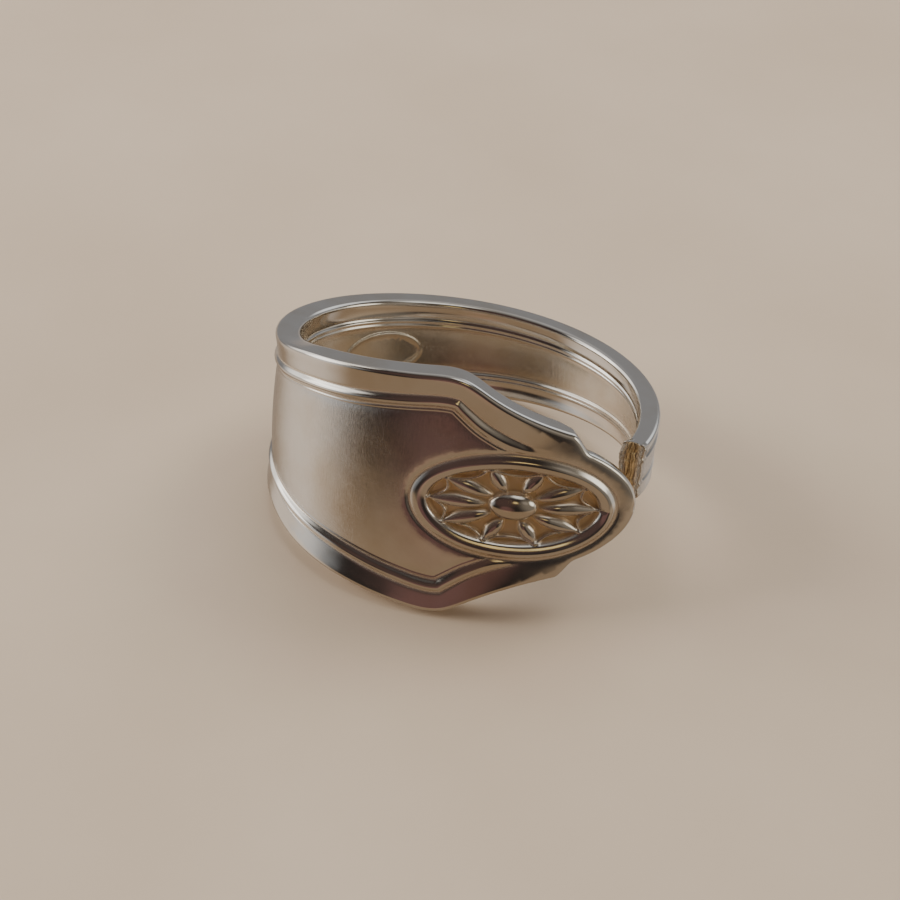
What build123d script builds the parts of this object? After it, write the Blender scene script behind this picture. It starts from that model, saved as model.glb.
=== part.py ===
"""Spoon ring: the patterned end of a silver spoon handle, cut off and rolled to go round a finger.

The ring is one piece of metal. Millimetres, +Z up. It lies on its side as it comes to rest by itself,
with the medallion facing -Y, and its origin is the middle of the bottom of its box.
"""
from build123d import *
import math
import os

# Driving dimensions
FINGER_R = 9.3          # mean inside radius of the loop
THICKNESS = 1.5         # of the metal halfway along
SHOULDER_W = 15.3       # full width at the two shoulder corners, the widest place
OVAL_L = 17.4           # whole length of the oval that rounds off the handle's end
OVAL_W = 9.1            # its full width
SHOULDER_TO_TIP = 11.1  # from the shoulder corners to the tip, along the metal
STEP_TO_TIP = 4.0       # from the small steps in the outline to the tip
CORNER_R = 0.3          # rounding of the long edges

BORDER_W = 1.4          # flat border outside the thread, at the shoulder
THREAD_W = 0.75         # raised thread that follows the edge
THREAD_H = 0.2          # its height above the border
PANEL_DROP = 0.12       # the panel between the threads lies this much below the border
RIM_W = 1.3             # flat rim of the inner face, at the shoulder
INNER_THREAD_W = 0.5
INNER_THREAD_H = 0.1
FIELD_DROP = 0.12       # the inner field lies this much below the rim

MEDAL_L = 11.9          # the medallion's raised oval ring, over all
MEDAL_W = 6.6
MEDAL_TO_TIP = 1.3      # from its near end to the tip
MEDAL_RING_W = 0.65
MEDAL_RING_H = 0.3      # above the border
MEDAL_RING_R = 0.2      # rounding of its two top edges
RECESS_DEPTH = 0.4      # floor of the medallion, below the border
PETALS = 10
PETAL_H = 0.42          # the petals' ridge, above the recess floor
PETAL_W = 0.95
PETAL_MARGIN = 0.4      # from the petals' tips to the oval ring
WEB_W = 0.3             # raised line of hollow arcs that joins the petals' tips
WEB_H = 0.22
WEB_DIP = 0.2           # how far they sag towards the middle, as a share of the oval
BOSS_L = 2.6            # domed oval in the middle of the flower
BOSS_W = 1.6
BOSS_H = 0.75           # above the recess floor

STAMP_L = 6.4           # plain raised oval line inside, where a mark would be struck
STAMP_W = 2.9
STAMP_LINE_W = 0.3
STAMP_LINE_H = 0.1
STAMP_AT = 0.438        # share of the handle's length from the cut end

HEADING_AT_CUT = 62.8   # direction in which the handle leaves its cut end, degrees from +X
END_OFFSET = 1.3        # the cut end sits this much higher than the tip, along the finger

# How the handle is bent: share of its length from the cut end, and bend as a share of 1 / outer radius
BENDS = [
    (0.000, 0.97), (0.125, 0.99), (0.250, 0.88), (0.375, 0.84), (0.500, 1.07),
    (0.625, 1.25), (0.750, 0.88), (0.875, 0.48), (1.000, 0.05),
]
# The stem: share of the way from cut end to shoulder, and width as a share of SHOULDER_W
STEM = [
    (0.00, 0.230), (0.25, 0.351), (0.50, 0.472), (0.75, 0.690), (0.84, 0.845), (0.92, 0.940),
    (1.00, 1.000),
]
# The hollow taper: share of the way from shoulder to step, and width as a share of SHOULDER_W
TAPER = [
    (0.00, 1.000), (0.09, 0.974), (0.25, 0.885), (0.42, 0.800), (0.66, 0.705), (0.90, 0.618),
    (0.96, 0.590), (1.00, 0.520),
]
# A petal: share of the way from root to tip, width as a share of PETAL_W, height as a share of PETAL_H
PETAL_SHAPE = [
    (0.00, 0.12, 0.45), (0.25, 0.70, 0.90), (0.50, 1.00, 1.00), (0.75, 0.70, 0.80), (1.00, 0.08, 0.20),
]
# Thickness along the whole handle, as a share of THICKNESS
GAUGE = [(0.0, 0.84), (0.5, 1.00), (1.0, 1.13)]

OUTER_R = FINGER_R + THICKNESS
LENGTH = 2 * math.pi * OUTER_R   # flat length of the handle piece, measured on the outer face
SHOULDER_S = LENGTH - SHOULDER_TO_TIP
STEP_S = LENGTH - STEP_TO_TIP
MEDAL_S = LENGTH - MEDAL_TO_TIP - MEDAL_L / 2
FLOOR_L = MEDAL_L - 2 * MEDAL_RING_W
FLOOR_W = MEDAL_W - 2 * MEDAL_RING_W
TAIL = 0.6                       # spare plate beyond the tip, which the oval trims off
SINK = 0.05                      # how far relief is let into the face that carries it
REACH = 3 * THICKNESS            # how far an oval column stands out of each face
SPAN = 0.6                       # half length of the slab behind an oval, as a share of the oval's length


def smooth(table, x):
    """Value at x on a smooth curve through the rows of a two-column table."""
    xs, ys = [row[0] for row in table], [row[1] for row in table]
    x = min(max(x, xs[0]), xs[-1])
    i = max(j for j in range(len(xs) - 1) if xs[j] <= x)

    def slope(j):
        if j == 0 or j == len(xs) - 1:
            a, b = (0, 1) if j == 0 else (-2, -1)
            return (ys[b] - ys[a]) / (xs[b] - xs[a])
        left = (ys[j] - ys[j - 1]) / (xs[j] - xs[j - 1])
        right = (ys[j + 1] - ys[j]) / (xs[j + 1] - xs[j])
        return 0.0 if left * right <= 0 else 2 * left * right / (left + right)

    h = xs[i + 1] - xs[i]
    t = (x - xs[i]) / h
    return (
        (2 * t**3 - 3 * t**2 + 1) * ys[i] + (t**3 - 2 * t**2 + t) * h * slope(i)
        + (3 * t**2 - 2 * t**3) * ys[i + 1] + (t**3 - t**2) * h * slope(i + 1)
    )


def walk(steps=480):
    """The line of the outer face in plan, as rows of distance, x, y and heading."""
    ds = LENGTH / steps
    x = y = 0.0
    heading = math.radians(HEADING_AT_CUT)
    rows = [(0.0, x, y, heading)]
    for i in range(steps):
        middle = heading + 0.5 * ds * smooth(BENDS, (i + 0.5) / steps) / OUTER_R
        x += ds * math.cos(middle)
        y += ds * math.sin(middle)
        heading += ds * smooth(BENDS, (i + 0.5) / steps) / OUTER_R
        rows.append(((i + 1) * ds, x, y, heading))
    return rows


LINE = walk()


def place(s, out=0.0, v=0.0):
    """Point at distance s from the cut end, out from the outer face and v across the handle."""
    i = min(int(s / LENGTH * (len(LINE) - 1)), len(LINE) - 2)
    s0, x, y, heading = LINE[i]
    share = (s - s0) / (LINE[i + 1][0] - s0)
    x += share * (LINE[i + 1][1] - x)
    y += share * (LINE[i + 1][2] - y)
    turned = heading + min(share, 1.0) * (LINE[i + 1][3] - heading)
    level = END_OFFSET * (0.5 - s / LENGTH)
    return Vector(x + out * math.sin(turned), y - out * math.cos(turned), level + v)


def gauge(s):
    """Thickness of the metal at s."""
    return THICKNESS * smooth(GAUGE, s / LENGTH)


def half_width(s):
    """Half the width of the handle's outline at s, up to the steps."""
    if s <= SHOULDER_S:
        share = smooth(STEM, s / SHOULDER_S)
    else:
        share = smooth(TAPER, (s - SHOULDER_S) / (STEP_S - SHOULDER_S))
    return share * SHOULDER_W / 2


def ribbed_section(s):
    """Cross section with border, thread and panel outside, and rim, thread and field inside."""
    w, t = half_width(s), gauge(s)
    fine = math.sqrt(w / (SHOULDER_W / 2))  # the mouldings get finer as the handle narrows
    border, thread = w - fine * BORDER_W, fine * THREAD_W
    rim, bead = w - fine * RIM_W, fine * INNER_THREAD_W
    r = edge_radius(t)

    def p(v, out):
        return place(s, out, v)

    edges = []
    for side in (1, -1):
        edges += [
            ThreePointArc(
                p(side * (border - thread), -fine * PANEL_DROP),
                p(side * (border - thread / 2), fine * THREAD_H),
                p(side * border, 0),
            ),
            Line(p(side * border, 0), p(side * (w - r), 0)),
            corner(p, side, w, r, 0, -1),
            Line(p(side * w, -r), p(side * w, r - t)),
            corner(p, side, w, r, -t, 1),
            Line(p(side * (w - r), -t), p(side * rim, -t)),
            ThreePointArc(
                p(side * rim, -t),
                p(side * (rim - bead / 2), -t - fine * INNER_THREAD_H),
                p(side * (rim - bead), -t + fine * FIELD_DROP),
            ),
        ]
    across = border - thread
    edges.append(Line(p(across, -fine * PANEL_DROP), p(-across, -fine * PANEL_DROP)))
    inside = rim - bead
    edges.append(Line(p(inside, -t + fine * FIELD_DROP), p(-inside, -t + fine * FIELD_DROP)))
    return Face(Wire(edges))


def edge_radius(thick):
    """Rounding of the long edges, as far as the metal there allows it."""
    return min(CORNER_R, 0.4 * thick)


def corner(p, side, w, r, face, inwards):
    """Rounded long edge between a face at this depth and the handle's side."""
    slack = r * (1 - math.sqrt(0.5))
    return ThreePointArc(
        p(side * (w - r), face),
        p(side * (w - slack), face + inwards * slack),
        p(side * w, face + inwards * r),
    )


def run(first, last, count):
    """Solid through cross sections at equal distances."""
    stations = [first + (last - first) * i / (count - 1) for i in range(count)]
    return loft([ribbed_section(s) for s in stations])


def shell(s_from, s_to, low, high, half):
    """Curved slab that follows the outer face, with its two faces low(s) and high(s) out of it."""
    count = 7
    stations = [s_from + (s_to - s_from) * i / (count - 1) for i in range(count)]
    upper = [place(s, high(s), -half) for s in stations]
    lower = [place(s, low(s), -half) for s in stations]
    level = (upper[0].Z + upper[-1].Z) / 2
    upper = [Vector(q.X, q.Y, level) for q in upper]
    lower = [Vector(q.X, q.Y, level) for q in lower]
    outline = Wire([
        Spline(*upper), Line(upper[-1], lower[-1]), Spline(*reversed(lower)), Line(lower[0], upper[0]),
    ])
    return extrude(Face(outline), amount=2 * half, dir=(0, 0, 1))


def face_plane(s, out=0.0):
    """Plane on the handle at s, x along it towards the tip, y across it and z outwards."""
    ahead = place(s + 0.1) - place(s - 0.1)
    outwards = place(s, 1) - place(s)
    return Plane(origin=place(s, out), x_dir=ahead, z_dir=outwards)


def oval_prism(s, length, width):
    """Upright oval column through the metal at s."""
    return extrude(face_plane(s, -REACH) * Ellipse(length / 2, width / 2), amount=2 * REACH)


def two_longest(solid):
    """The two longest edges of a solid."""
    return solid.edges().sort_by(SortBy.LENGTH)[-2:]


def oval_line(s, length, width, line_w, low, high):
    """Raised oval line on the metal at s, its outer edge this long and wide."""
    column = oval_prism(s, length, width) - oval_prism(s, length - 2 * line_w, width - 2 * line_w)
    return column & shell(s - SPAN * length, s + SPAN * length, low, high, width)


def end_plate():
    """Plain plate from the steps to the tip, trimmed to the oval, with the band's rounded edges."""
    oval_s = LENGTH - OVAL_L / 2
    tip_ahead = (place(LENGTH) - place(oval_s)).dot(face_plane(oval_s).x_dir)
    plate = shell(STEP_S, LENGTH + TAIL, lambda s: -gauge(s), lambda s: 0.0, OVAL_W)
    plate &= oval_prism(oval_s, 2 * tip_ahead, OVAL_W)
    return fillet(two_longest(plate), edge_radius(gauge(LENGTH)))


def on_oval(angle, half_l, half_w):
    """Place on an oval about its middle, as distances along and across the handle."""
    return half_l * math.cos(angle), half_w * math.sin(angle)


def petal(angle):
    """Ridged leaf shape on the medallion's floor, from the boss to the web."""
    s0, v0 = on_oval(angle, BOSS_L / 2 + SINK, BOSS_W / 2 + SINK)
    s1, v1 = on_oval(angle, FLOOR_L / 2 - PETAL_MARGIN, FLOOR_W / 2 - PETAL_MARGIN)
    along_s, along_v = s1 - s0, v1 - v0
    sections = []
    for share, width, height in PETAL_SHAPE:
        s, v = MEDAL_S + s0 + share * along_s, v0 + share * along_v
        half = width * PETAL_W / 2 / math.hypot(along_s, along_v)
        sections.append(Face(Wire(Polyline(
            place(s - half * along_v, -RECESS_DEPTH - SINK, v + half * along_s),
            place(s + half * along_v, -RECESS_DEPTH - SINK, v - half * along_s),
            place(s, -RECESS_DEPTH + height * PETAL_H, v),
            close=True,
        ))))
    return loft(sections, ruled=True)


def scallops(grown):
    """Flat closed line of hollow arcs through the petals' tips, moved outwards by this much."""
    half_l = FLOOR_L / 2 - PETAL_MARGIN + grown
    half_w = FLOOR_W / 2 - PETAL_MARGIN + grown
    turn = 2 * math.pi / PETALS
    sag = 1 - WEB_DIP
    return Wire([
        ThreePointArc(
            on_oval(turn * i, half_l, half_w),
            on_oval(turn * (i + 0.5), sag * half_l, sag * half_w),
            on_oval(turn * (i + 1), half_l, half_w),
        )
        for i in range(PETALS)
    ])


def web():
    """Fine raised line of hollow arcs that joins the petals' tips."""
    flat = Face(scallops(WEB_W / 2), [scallops(-WEB_W / 2)])
    column = extrude(face_plane(MEDAL_S, -REACH) * flat, amount=2 * REACH)
    span = SPAN * MEDAL_L
    return column & shell(
        MEDAL_S - span, MEDAL_S + span,
        lambda s: -RECESS_DEPTH - SINK, lambda s: -RECESS_DEPTH + WEB_H, MEDAL_W,
    )


def medallion(band):
    """The band with the oval flower medallion worked into it."""
    ring = oval_line(
        MEDAL_S, MEDAL_L, MEDAL_W, MEDAL_RING_W, lambda s: -THICKNESS / 2, lambda s: MEDAL_RING_H
    )
    ring = fillet(outer_edges(ring), min(MEDAL_RING_R, 0.4 * MEDAL_RING_W))
    span = SPAN * MEDAL_L
    well = oval_prism(MEDAL_S, MEDAL_L - MEDAL_RING_W, MEDAL_W - MEDAL_RING_W) & shell(
        MEDAL_S - span, MEDAL_S + span, lambda s: -RECESS_DEPTH, lambda s: THICKNESS, MEDAL_W
    )
    boss = scale(Sphere(1, arc_size1=0), by=(BOSS_L / 2, BOSS_W / 2, BOSS_H))
    boss = face_plane(MEDAL_S, -RECESS_DEPTH - SINK).location * boss
    petals = [petal(2 * math.pi * i / PETALS) for i in range(PETALS)]
    band = band - well + ring
    for relief in [web(), boss, *petals]:
        band += relief
    return band


def outer_edges(ring):
    """The two edges of the medallion ring's top, farthest out of the metal."""
    outwards = face_plane(MEDAL_S).z_dir
    rounds = [edge for edge in ring.edges() if edge.length > MEDAL_W]
    return sorted(rounds, key=lambda edge: edge.center().dot(outwards))[-2:]


def stamp():
    """Plain raised oval line on the inner face."""
    s = STAMP_AT * LENGTH
    return oval_line(
        s, STAMP_L, STAMP_W, STAMP_LINE_W,
        lambda s: -gauge(s) + FIELD_DROP - STAMP_LINE_H, lambda s: -gauge(s) / 2,
    )


def rest_tilt(solid):
    """Turns about X and Y, in degrees, that bring a solid's centre of mass down to its lowest."""
    centre = solid.center(CenterOf.MASS)
    points = [tuple(q - centre) for q in solid.tessellate(0.02, 0.2)[0]]

    def height(turns):
        a, b = (math.radians(turn) for turn in turns)
        up = (-math.cos(a) * math.sin(b), math.sin(a), math.cos(a) * math.cos(b))
        return -min(x * up[0] + y * up[1] + z * up[2] for x, y, z in points)

    turns, best, step = (0.0, 0.0), height((0.0, 0.0)), 8.0
    while step > 0.01:
        tries = [
            (turns[0] + i * step, turns[1] + j * step)
            for i in (-1, 0, 1) for j in (-1, 0, 1) if i or j
        ]
        found = min(tries, key=height)
        if height(found) < best:
            turns, best = found, height(found)
        else:
            step /= 2
    return turns


ring_band = run(0, SHOULDER_S, 13) + run(SHOULDER_S, STEP_S, 9) + end_plate()
ring_band = medallion(ring_band) + stamp()
about_x, about_y = rest_tilt(ring_band)
ring_band = ring_band.rotate(Axis.Y, about_y).rotate(Axis.X, about_x)
box = ring_band.bounding_box()
ring_band = ring_band.translate((-box.center().X, -box.center().Y, -box.min.Z))

print("turned to rest by", round(about_x, 2), "about X and", round(about_y, 2), "about Y, degrees")
print("volume", round(ring_band.volume, 1), "mm3, size", ring_band.bounding_box().size)
print("valid", ring_band.is_valid, "solids", len(ring_band.solids()))

os.makedirs("parts", exist_ok=True)
export_step(ring_band, "parts/ring_band.step")
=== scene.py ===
"""Looks of a spoon ring: worn silver, on a plain pale floor.

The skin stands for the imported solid. It is built from the same tables of bend, width and thickness, in
millimetres along the handle (s, from the cut end), across it (v) and out of its outer face (out), and it
adds the finer mouldings, the sharper petals and the wear that the solid leaves out.
"""
import math

import bpy
import numpy as np
from mathutils import Matrix, Vector, geometry


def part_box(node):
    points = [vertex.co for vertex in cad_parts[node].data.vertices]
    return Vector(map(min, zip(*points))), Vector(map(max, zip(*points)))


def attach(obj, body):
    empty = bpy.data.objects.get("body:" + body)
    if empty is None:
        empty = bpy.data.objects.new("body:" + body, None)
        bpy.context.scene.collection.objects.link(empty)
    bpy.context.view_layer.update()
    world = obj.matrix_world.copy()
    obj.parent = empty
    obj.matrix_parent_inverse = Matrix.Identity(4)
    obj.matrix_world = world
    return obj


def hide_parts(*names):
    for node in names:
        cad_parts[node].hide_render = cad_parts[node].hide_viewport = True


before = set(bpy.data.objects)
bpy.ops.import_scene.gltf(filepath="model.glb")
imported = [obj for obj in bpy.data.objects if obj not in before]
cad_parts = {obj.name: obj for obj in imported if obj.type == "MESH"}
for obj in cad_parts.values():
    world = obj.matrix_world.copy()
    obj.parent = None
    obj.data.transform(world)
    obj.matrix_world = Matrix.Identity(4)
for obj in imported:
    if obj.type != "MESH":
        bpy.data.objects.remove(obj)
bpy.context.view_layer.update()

MM = 0.001
MAP_UNIT = 10                               # mm to one unit of the map coordinates
INNER_MAP_AT, WALL_MAP_AT = (200, 0), (0, 40)       # these keep the three faces apart on the map, mm

# The band, as in the solid, with the shoulder and the step a little softer
FINGER_R = 9.3          # mean, inside
THICKNESS = 1.5
SHOULDER_W = 15.3
OVAL_L, OVAL_W = 17.4, 9.1
SHOULDER_TO_TIP, STEP_TO_TIP = 11.1, 4.0
HEADING_AT_CUT = 62.8   # degrees from +x, before the ring leans
END_OFFSET = 1.3        # how far apart the two ends lie, across the handle
TURN_X, TURN_Y = -15.0, 1.14    # how the ring leans as it rests, degrees
# Share of the way from the cut to the tip, bend as a share of a plain circle's
BENDS = [
    (0.000, 0.97), (0.125, 0.99), (0.250, 0.88), (0.375, 0.84), (0.500, 1.07),
    (0.625, 1.25), (0.750, 0.88), (0.875, 0.48), (1.000, 0.05),
]
# Share of the way from the cut to the shoulder, width as a share of the shoulder's
STEM = [
    (0.000, 0.230), (0.250, 0.351), (0.500, 0.472), (0.750, 0.690), (0.840, 0.845), (0.920, 0.943),
    (0.965, 0.986), (0.985, 1.003), (1.000, 1.000),
]
# Share of the way from the shoulder to the step, width as a share of the shoulder's
TAPER = [
    (0.00, 1.000), (0.09, 0.974), (0.25, 0.885), (0.42, 0.800), (0.66, 0.705), (0.83, 0.652),
    (0.90, 0.632), (1.00, 0.605),
]
# Share of the way from the cut to the tip, thickness as a share of THICKNESS
GAUGE = [(0.0, 0.84), (0.5, 1.00), (1.0, 1.13)]
SHOULDER_SOFT = (-0.6, -0.3, 0.0, 0.3, 0.6)     # the shoulder is the mean of itself at these shifts
STEP_SOFT = (-0.35, 0.8)                        # where the step begins and ends, from its middle

OUTER_R = FINGER_R + THICKNESS
LENGTH = 2 * math.pi * OUTER_R
SHOULDER_S = LENGTH - SHOULDER_TO_TIP
STEP_S = LENGTH - STEP_TO_TIP

# Edges
EDGE_R = 0.32           # rounding of the long edges
CUT_R = 0.07            # the sawn end is left nearly sharp
WALL_ROWS = 10          # rows of faces between the outer and the inner face
TIP_THIN, TIP_THIN_W = 0.75, 1.4    # the oval end is bevelled to a thin edge from behind
TIP_THIN_BEND = 1.5                 # 1 would be a straight bevel, more is a hollow one
BORDER_W = 1.7          # from the edge to the thread, at the shoulder
SINK_H, RIM_H = 0.22, 0.05      # the border dips to the thread and turns up towards the edge
BORDER_BEND = 1.3               # 1 would be a straight slope, more is a hollow one
CROWN_H = 0.22          # the panel is slightly domed

# How forms fade towards the tip: the distances to the tip where each is gone and where it is whole
THREAD_FADES = (6.3, 7.4)
THREAD_LOW, THREAD_SINKS = 0.4, (7.6, 11.2)     # past its mitre the thread sinks to this share
CROWN_FADES = (6.35, 9.0)
SINK_FADES = (4.2, 9.0)
RIM_FADES = (5.0, 9.0)
BEVEL_ENDS = (3.6, 5.2)         # the bevel from behind, the other way round: whole, then gone

# Outer mouldings: distance inwards from the thread's outer foot, height over the border
MOULDING = [
    (-0.30, 0.000), (-0.12, -0.010), (-0.03, -0.040), (0.04, -0.020), (0.13, 0.045), (0.23, 0.115),
    (0.33, 0.155), (0.43, 0.145), (0.53, 0.085), (0.62, 0.000), (0.70, -0.085), (0.77, -0.140),
    (0.83, -0.150), (0.88, -0.125), (0.93, -0.115), (0.99, -0.150), (1.06, -0.145), (1.25, -0.125),
    (1.60, -0.120),
]
# Where the thread runs past its mitre: distance to the tip, distance from the middle
THREAD_LINE = [
    (10.95, 6.27), (10.40, 5.83), (9.45, 5.10), (8.90, 4.78), (8.35, 4.50), (7.70, 4.22), (7.10, 4.00),
    (6.60, 3.82), (5.80, 3.60),
]
THREAD_MEETS = 8        # before the mitre it is led over to that line along this length
# Inner mouldings: distance inwards from the edge, height over the rim
INNER_MOULDING = [
    (0.00, 0.000), (0.40, -0.005), (0.80, -0.070), (1.25, -0.110), (1.70, -0.080), (1.86, -0.010),
    (2.02, 0.100), (2.16, 0.040), (2.24, -0.010), (2.32, 0.035), (2.46, 0.095), (2.62, -0.020),
    (2.74, -0.150), (2.95, -0.165), (3.50, -0.130),
]

# The medallion
MEDAL_TO_TIP = 7.25             # from its middle
MEDAL_DOWN = 0.17               # how far it sits off the handle's middle line
MEDAL_A, MEDAL_B = 6.04, 3.40   # half length and half width at the foot of its ring
# The ring's profile: distance inwards from its outer foot, height over the border
RING = [
    (-0.60, 0.000), (-0.25, -0.015), (-0.08, -0.045), (0.02, -0.030), (0.12, 0.035), (0.24, 0.125),
    (0.36, 0.190), (0.48, 0.210), (0.60, 0.185), (0.74, 0.125), (0.87, 0.050), (0.94, -0.030),
    (1.00, -0.160), (1.08, -0.330), (1.18, -0.400),
]
RING_SINKS = 0.5        # share of the ring's height that is lost where it runs into the panel
RING_SINKS_FROM = 0.4   # where that begins, as a share of MEDAL_A from the medallion's middle
RING_TAKES_OVER = (-0.40, 0.02)     # the band's height gives way to the ring's between these
RECESS_E = 0.93         # where the recess begins, inwards from the ring's foot
FLOWER_BEGINS = (0.02, 0.10)        # beyond RECESS_E
PETALS = 10
PETAL_W = 1.00
PETAL_H = 0.38
PETAL_ROUND = 0.72      # 0.5 would be a round back, 1 a sharp one
PETAL_ROOT = 1.02       # where a petal starts, as a share of the boss's half axes
PETAL_CLEAR = (0.08, 0.06)          # from its tip to the recess's wall, along and across the handle
# A petal: share of the way from root to tip, width as a share of PETAL_W, height as a share of PETAL_H
PETAL = [
    (0.00, 0.22, 0.30), (0.15, 0.62, 0.78), (0.35, 0.92, 1.00), (0.55, 1.00, 1.00), (0.75, 0.78, 0.92),
    (0.92, 0.38, 0.75), (1.00, 0.16, 0.62),
]
PETAL_STARTS, PETAL_STOPS = (-0.06, 0.02), (0.99, 1.07)     # rounded ends, in the same shares
WEB_W, WEB_H = 0.27, 0.26
WEB_DIP = 0.17          # how far the web's arcs come in between the petals, as a share of its radius
BOSS_A, BOSS_B, BOSS_H = 1.46, 0.92, 0.72
BLEND, BOSS_BLEND = 0.03, 0.02      # rounding of the valleys between these forms
LINE_ROUND = 0.7        # the same as PETAL_ROUND, for the web and the oval line inside
# A nick in the ring's crest: distance to the tip, v, its two sizes and its depth
NICK_TO_TIP, NICK_V, NICK_L, NICK_W, NICK_D = 2.05, -0.12, 0.20, 0.11, 0.12

# Plain oval line inside: where its middle is, as a share of the length, then its size
STAMP_AT = 0.438
STAMP_A, STAMP_B = 3.2, 1.5
STAMP_W, STAMP_H = 0.30, 0.09

# The sawn end
RIDGE_H = 0.06                      # saw marks through the metal
RIDGE_SIZE, GRAIN_SIZE = 0.16, 0.12
RIDGE_RUN = 0.25                    # they run across the handle, four times as long as they are wide
GRAIN = 0.4                         # height of the finer grain, as a share of RIDGE_H
BURR_H = 0.11                       # ragged burr on the two edges of the cut
BURR_W = 0.12                       # as a share of the thickness
BURR_SIZE, BURR_EVEN = 0.3, 0.6
LIP_H, LIP_W = 0.36, 0.24           # metal pushed over on the inside
LIP_WAVE = 0.2                      # how uneven that is, as a share of LIP_H

# Unevenness of the outer and the inner face: height, then size of the swells
SWELL_H, SWELL_SIZE = 0.012, 5.0
DENT_H, DENT_SIZE = 0.010, 4.0
DENT_OUT = 9                        # taken this far out of the face, where the waves are others

# The skin's points: how far apart they are
EDGE_STEP, CUT_STEP = 0.18, 0.09        # along the edges, across the cut
THREAD_STEP = 0.16                      # along the thread
OUTER_STEP, INNER_STEP = 0.30, 0.32     # over the plain stretches
MEDAL_STEP, STAMP_STEP = 0.060, 0.068   # over the medallion, by the oval line inside
# Their rows: degrees round an edge, distances from the cut, from the thread's foot and from the edge
EDGE_ANGLES = (18, 36, 54, 72, 90)
CUT_ROWS = (CUT_R * 0.3, CUT_R, 0.14, 0.22, 0.32, 0.44)
THREAD_ROWS = (-0.30, -0.18, -0.10, *np.arange(-0.05, 1.04, 0.045), 1.12, 1.24)
INNER_ROWS = (0.5, 0.75, 1.0, 1.25, 1.5, 1.65, *np.arange(1.75, 2.85, 0.058), 2.95, 3.2)
# A row's points are left out where a bend in the line takes them off their distance by this much
EDGE_STRAY, THREAD_STRAY, INNER_STRAY = 0.006, 0.012, 0.03
# Where the kinds of points begin and end, so that none crowds another
ROWS_FROM, FILL_FROM = 0.5, 0.6         # distance from the cut
CUT_CLEAR, MIDDLE_CLEAR = 0.02, 0.02    # rows stop this far from the cut's edge and the middle line
ROW_CLEAR, FILL_CLEAR, DENSE_CLEAR = 0.04, 0.15, 0.03       # distance from the rounded edge
THREAD_ZONE = (-0.40, 1.35)             # no fill here, from the thread's foot
INNER_ZONE = 3.35                       # no fill nearer the edge than this, inside
MEDAL_ROWS_END, MEDAL_FILL_END, MEDAL_BEGIN = -0.32, -0.42, -0.30       # from the ring's foot
MEDAL_MARGIN = 0.4                      # dense points are laid this far round the medallion
STAMP_ROWS_END, STAMP_FILL_END = -0.2, 0.35     # from the outer side of the oval line
STAMP_AREA = (4.0, 2.4)                 # half length and half width of its dense points

# Wear. Tarnish outside: distance from the thread's foot and width, then the same from the ring's foot
THREAD_TARNISH = [(-0.03, 0.06), (0.80, 0.05)]
RING_TARNISH = (-0.03, 0.09)
LINE_TARNISH = 0.6                      # strength along these lines
LINE_TARNISH_FADES = (6.4, 7.0)         # towards the tip, as above
RECESS_TARNISH = (0.0, 0.12)            # it begins between these, beyond RECESS_E
FLOWER_CLEAN = (0.04, 0.36)             # it wears off between these heights on the flower
# Tarnish inside: distance from the edge, width and strength
INNER_TARNISH = [(2.85, 0.14, 0.5), (2.24, 0.04, 0.3)]
# Painted shade on the inner face, low down near the cut, where the ring shades itself; it darkens the
# colour as tarnish does. Strength, then where it fades out along and across the handle
CUT_SHADE, CUT_SHADE_S, CUT_SHADE_V = 0.5, (6, 17), (-0.6, 1.2)   # low down near the cut
# Satin panel: where it begins from the thread's foot and from the medallion, and how it fades
SATIN_THREAD, SATIN_MEDAL, SATIN_FADES = (0.85, 1.1), (0.05, 0.5), (6.6, 7.2)
# Inside, from the edge: where the satin and the dull field begin
INNER_SATIN, INNER_DULL = (2.75, 3.1), (2.5, 3.1)
# Raw metal: strength and end beside the cut, where it begins through the metal, and on the burrs
RAW_BESIDE, RAW_ENDS = 0.25, (0.2, 0.6)
RAW_BEGINS, RAW_ON_BURR = (0.05, 0.3), 0.2

# Colours
SILVER = (0.82, 0.79, 0.74, 1)
WARM_SILVER = (0.74, 0.67, 0.57, 1)
# This colour serves for the tarnish in the hollows and for the painted shade inside by the cut
TARNISH_AND_SHADE = (0.64, 0.44, 0.23, 1)
DULL_SILVER = (0.62, 0.54, 0.42, 1)
RAW_GOLD = (0.74, 0.56, 0.31, 1)
RAW_DARK = (0.22, 0.14, 0.08, 1)
FLOOR_LIGHT = (0.70, 0.56, 0.42, 1)
FLOOR_DARK = (0.63, 0.49, 0.36, 1)

# Soft lamps: name, azimuth from the front and elevation (degrees), distance and size (m), watts, colour
LAMPS = [
    ("window_left", -92, 26, 0.45, 0.24, 1.3, (1.00, 0.97, 0.93)),
    ("window_right", 128, 48, 0.60, 0.26, 1.2, (1.00, 0.95, 0.86)),
    ("overhead", 180, 62, 0.60, 0.44, 1.2, (0.92, 0.95, 1.00)),
]
# The room round the ring: a dark ground and soft glows on it
ROOM = (0.030, 0.024, 0.022, 1)
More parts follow.
